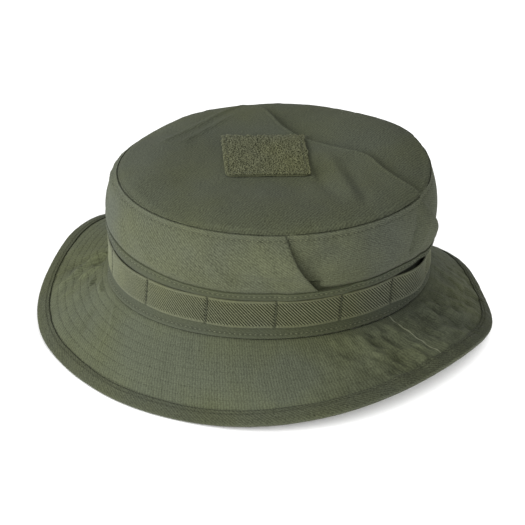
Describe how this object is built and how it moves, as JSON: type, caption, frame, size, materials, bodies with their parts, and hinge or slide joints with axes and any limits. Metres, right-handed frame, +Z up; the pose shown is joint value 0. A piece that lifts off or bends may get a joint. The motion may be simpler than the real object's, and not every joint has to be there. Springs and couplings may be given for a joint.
{
  "type": "boonie hat",
  "caption": "Soft wide-brimmed sun hat with an oval crown, slit side vents, a tacked webbing band for foliage, a quilted drooping brim and a square loop panel on top.",
  "frame": {"origin": "on the ground, below the middle of the hat's outline, with the hat standing on its brim edge", "axes": "+Z up, -Y the way the wearer faces, +Y to the back, +X to the wearer's left"},
  "size_m": [0.253, 0.2942, 0.1251],
  "materials": {
    "crown_cloth": "matte olive twill",
    "side_cloth": "matte olive twill",
    "band_cloth": "matte olive twill",
    "webbing_tape": "matte woven tape with slanted ribs",
    "tack_thread": "satin sewing thread",
    "brim_cloth": "matte olive twill, quilted",
    "under_brim_cloth": "matte olive twill, quilted",
    "binding_tape": "matte folded tape",
    "interlining_cloth": "plain unbleached canvas",
    "sweatband_tape": "soft matte cotton",
    "seam_tape": "matte folded tape",
    "mesh_net": "open knitted mesh",
    "loop_backing_tape": "matte woven tape",
    "loop_pile": "fuzzy looped pile"
  },
  "bodies": {
    "root": {"crown_top": "crown_cloth", "side_panel_front": "side_cloth", "side_panel_left": "side_cloth", "side_panel_rear": "side_cloth", "side_panel_right": "side_cloth", "vent_mesh_left_front": "mesh_net", "vent_mesh_left_rear": "mesh_net", "vent_mesh_right_rear": "mesh_net", "vent_mesh_right_front": "mesh_net", "lower_band_rear": "band_cloth", "lower_band_front": "band_cloth", "sweatband": "sweatband_tape", "crown_seam_tape": "seam_tape", "foliage_webbing": "webbing_tape", "bartack_01": "tack_thread", "bartack_02": "tack_thread", "bartack_03": "tack_thread", "bartack_04": "tack_thread", "bartack_05": "tack_thread", "bartack_06": "tack_thread", "bartack_07": "tack_thread", "bartack_08": "tack_thread", "bartack_09": "tack_thread", "bartack_10": "tack_thread", "bartack_11": "tack_thread", "bartack_12": "tack_thread", "bartack_13": "tack_thread", "bartack_14": "tack_thread", "brim_upper_rear": "brim_cloth", "brim_upper_front": "brim_cloth", "brim_lower_rear": "under_brim_cloth", "brim_lower_front": "under_brim_cloth", "brim_interlining_rear": "interlining_cloth", "brim_interlining_front": "interlining_cloth", "brim_binding": "binding_tape", "loop_panel_backing": "loop_backing_tape", "loop_panel_pile": "loop_pile"}
  },
  "joints": []
}
